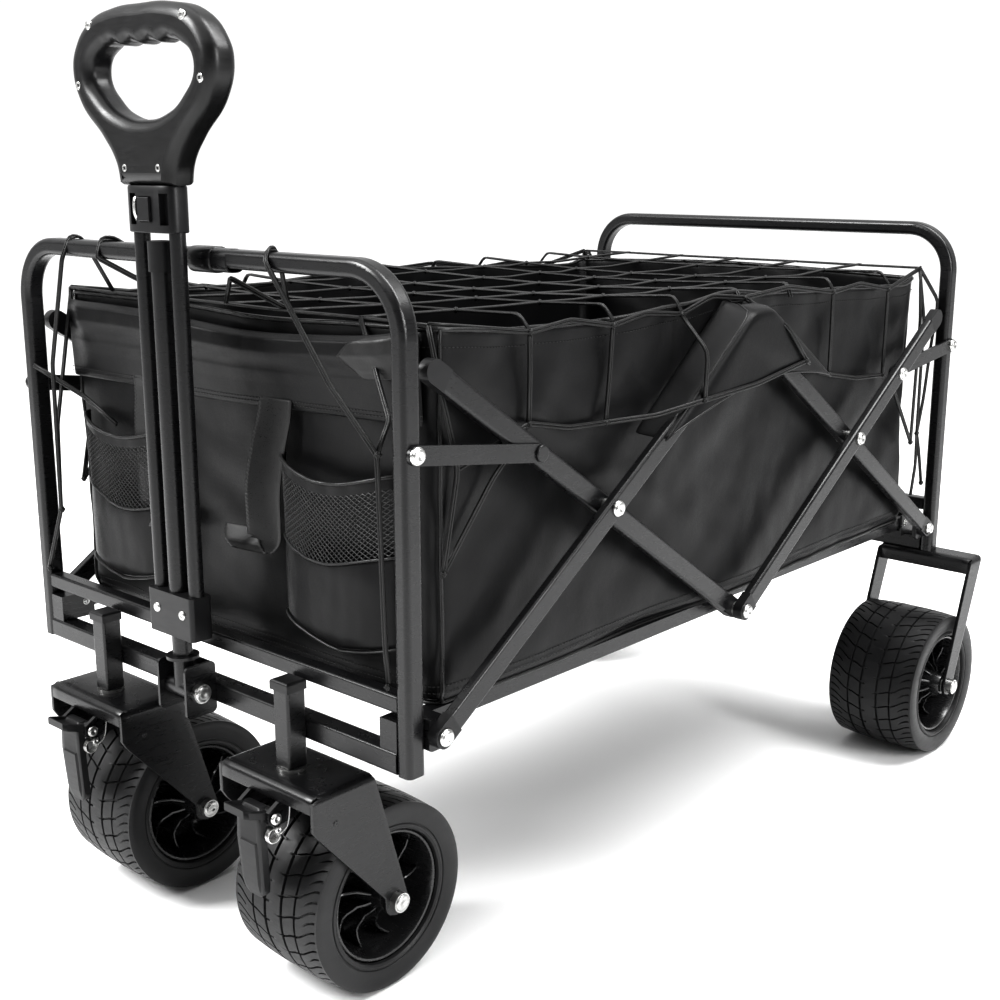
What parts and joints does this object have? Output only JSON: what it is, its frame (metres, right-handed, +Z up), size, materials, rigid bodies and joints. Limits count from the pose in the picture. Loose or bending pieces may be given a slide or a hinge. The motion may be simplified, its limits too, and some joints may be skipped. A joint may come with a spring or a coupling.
{
  "type": "folding camp wagon",
  "caption": "Folding camp wagon: tube hoops joined by side scissors, open fabric bag under an elastic net, wide wheels, swivelling front castors with brakes, and a sliding pull handle.",
  "frame": {"origin": "on the ground, under the middle of the parked wagon's overall box", "axes": "+Z up, +Y from the pull handle to the rear hoop, +X to the right side seen from behind the pull handle looking at the bag"},
  "size_m": [0.676, 1.0405, 0.851],
  "materials": {
    "black_steel": "satin powder coat",
    "zinc": "bright zinc plate",
    "black_plastic": "fine moulded grain",
    "grip_plastic": "fine moulded grain",
    "tyre_rubber": "matte moulded tread",
    "rim_plastic": "semi-gloss moulded",
    "bag_fabric": "plain weave polyester",
    "webbing": "ribbed webbing",
    "net_cord": "braided elastic cord"
  },
  "bodies": {
    "front_frame": {"front_hoop": "black_steel", "front_cross_tubes": "black_steel", "front_brackets": "black_steel", "front_rivets": "zinc", "castor_posts": "black_steel", "castor_bushes": "black_plastic", "front_plugs": "black_plastic", "handle_yoke": "black_steel", "handle_pivot_bolt": "zinc", "bag": "bag_fabric", "front_pockets": "bag_fabric", "webbing_straps": "webbing", "cargo_net": "net_cord"},
    "links_a": {"link_a_tubes": "black_steel", "link_a_caps": "black_plastic", "front_link_rivets": "zinc"},
    "links_b": {"link_b_tubes": "black_steel", "link_b_caps": "black_plastic"},
    "links_c": {"link_c_tubes": "black_steel", "link_c_caps": "black_plastic", "rear_link_rivets": "zinc"},
    "links_d": {"link_d_tubes": "black_steel", "link_d_caps": "black_plastic"},
    "rear_frame": {"rear_hoop": "black_steel", "rear_cross_tubes": "black_steel", "rear_brackets": "black_steel", "rear_rivets": "zinc", "rear_forks": "black_steel", "rear_axles": "zinc"},
    "front_straps": {"front_straps": "black_steel"},
    "rear_straps": {"rear_straps": "black_steel"},
    "front_floor_rails": {"front_floor_rails": "black_steel"},
    "rear_floor_rails": {"rear_floor_rails": "black_steel"},
    "handle_post": {"handle_post": "black_steel", "handle_top_sleeve": "black_plastic"},
    "handle_slider": {"handle_guide_block": "black_plastic", "handle_side_tubes": "black_steel", "handle_latch_housing": "black_plastic", "handle_grip": "grip_plastic", "grip_screws": "zinc"},
    "latch_button": {"handle_latch_button": "black_plastic"},
    "castor_right": {"castor_fork_right": "black_steel", "kingpin_right": "zinc", "front_axle_right": "zinc", "brake_bracket_right": "black_steel"},
    "brake_right": {"brake_pedal_right": "black_plastic"},
    "front_wheel_right": {"front_tyre_right": "tyre_rubber", "front_rim_right": "rim_plastic"},
    "rear_wheel_right": {"rear_tyre_right": "tyre_rubber", "rear_rim_right": "rim_plastic"},
    "castor_left": {"castor_fork_left": "black_steel", "kingpin_left": "zinc", "front_axle_left": "zinc", "brake_bracket_left": "black_steel"},
    "brake_left": {"brake_pedal_left": "black_plastic"},
    "front_wheel_left": {"front_tyre_left": "tyre_rubber", "front_rim_left": "rim_plastic"},
    "rear_wheel_left": {"rear_tyre_left": "tyre_rubber", "rear_rim_left": "rim_plastic"}
  },
  "joints": [
    {"name": "fold", "type": "hinge", "parent": "front_frame", "child": "links_a", "pos_m": [0, -0.42075, 0.276], "axis": [1, 0, 0], "range_deg": [0, 44.01], "deforming": ["bag", "cargo_net"]},
    {"name": "front_crossing", "type": "hinge", "parent": "links_a", "child": "links_b", "pos_m": [0, -0.19975, 0.425], "axis": [1, 0, 0], "range_deg": [-88.03, 0]},
    {"name": "upper_middle_pivot", "type": "hinge", "parent": "links_a", "child": "links_d", "pos_m": [0, 0.02125, 0.574], "axis": [1, 0, 0], "range_deg": [-88.03, 0]},
    {"name": "lower_middle_pivot", "type": "hinge", "parent": "links_b", "child": "links_c", "pos_m": [0, 0.02125, 0.276], "axis": [1, 0, 0], "range_deg": [0, 88.03]},
    {"name": "rear_lower_pivot", "type": "hinge", "parent": "links_d", "child": "rear_frame", "pos_m": [0, 0.46325, 0.276], "axis": [1, 0, 0], "range_deg": [0, 44.02]},
    {"name": "front_strap_pivot", "type": "hinge", "parent": "front_frame", "child": "front_straps", "pos_m": [0, -0.43875, 0.50756], "axis": [1, 0, 0], "range_deg": [0, 77.91]},
    {"name": "rear_strap_pivot", "type": "hinge", "parent": "rear_frame", "child": "rear_straps", "pos_m": [0, 0.48425, 0.50574], "axis": [1, 0, 0], "range_deg": [-76.23, 0]},
    {"name": "front_rail_pivot", "type": "hinge", "parent": "front_frame", "child": "front_floor_rails", "pos_m": [0, -0.41875, 0.278], "axis": [1, 0, 0], "range_deg": [0, 75.54]},
    {"name": "rear_rail_pivot", "type": "hinge", "parent": "rear_frame", "child": "rear_floor_rails", "pos_m": [0, 0.46425, 0.278], "axis": [1, 0, 0], "range_deg": [-75.54, 0]},
    {"name": "handle_pitch", "type": "hinge", "parent": "front_frame", "child": "handle_post", "pos_m": [0, -0.46725, 0.258], "axis": [1, 0, 0], "range_deg": [0, 95]},
    {"name": "handle_extend", "type": "slide", "parent": "handle_post", "child": "handle_slider", "axis": [0, 0, 1], "range_m": [0, 0.25]},
    {"name": "latch_press", "type": "slide", "parent": "handle_slider", "child": "latch_button", "axis": [0, 1, 0], "range_m": [0, 0.003], "stiffness_N_per_m": 400},
    {"name": "castor_swivel_right", "type": "hinge", "parent": "front_frame", "child": "castor_right", "pos_m": [0.139, -0.45825, 0.217], "axis": [0, 0, 1], "continuous": true},
    {"name": "front_wheel_spin_right", "type": "hinge", "parent": "castor_right", "child": "front_wheel_right", "pos_m": [0.139, -0.39625, 0.089], "axis": [1, 0, 0], "continuous": true},
    {"name": "brake_press_right", "type": "hinge", "parent": "castor_right", "child": "brake_right", "pos_m": [0.139, -0.49425, 0.19], "axis": [1, 0, 0], "range_deg": [0, 11]},
    {"name": "rear_wheel_spin_right", "type": "hinge", "parent": "rear_frame", "child": "rear_wheel_right", "pos_m": [0.268, 0.43125, 0.089], "axis": [1, 0, 0], "continuous": true},
    {"name": "castor_swivel_left", "type": "hinge", "parent": "front_frame", "child": "castor_left", "pos_m": [-0.139, -0.45825, 0.217], "axis": [0, 0, 1], "continuous": true},
    {"name": "front_wheel_spin_left", "type": "hinge", "parent": "castor_left", "child": "front_wheel_left", "pos_m": [-0.139, -0.39625, 0.089], "axis": [1, 0, 0], "continuous": true},
    {"name": "brake_press_left", "type": "hinge", "parent": "castor_left", "child": "brake_left", "pos_m": [-0.139, -0.49425, 0.19], "axis": [1, 0, 0], "range_deg": [0, 11]},
    {"name": "rear_wheel_spin_left", "type": "hinge", "parent": "rear_frame", "child": "rear_wheel_left", "pos_m": [-0.268, 0.43125, 0.089], "axis": [1, 0, 0], "continuous": true}
  ],
  "couplings": [
    {"joint": "front_crossing", "follows": "fold", "ratio": -2},
    {"joint": "upper_middle_pivot", "follows": "fold", "ratio": -2},
    {"joint": "lower_middle_pivot", "follows": "fold", "ratio": 2},
    {"joint": "rear_lower_pivot", "follows": "fold", "ratio": 1},
    {"joint": "front_strap_pivot", "follows": "fold", "ratio": 1.77},
    {"joint": "rear_strap_pivot", "follows": "fold", "ratio": -1.7318},
    {"joint": "front_rail_pivot", "follows": "fold", "ratio": 1.7161},
    {"joint": "rear_rail_pivot", "follows": "fold", "ratio": -1.7161}
  ]
}
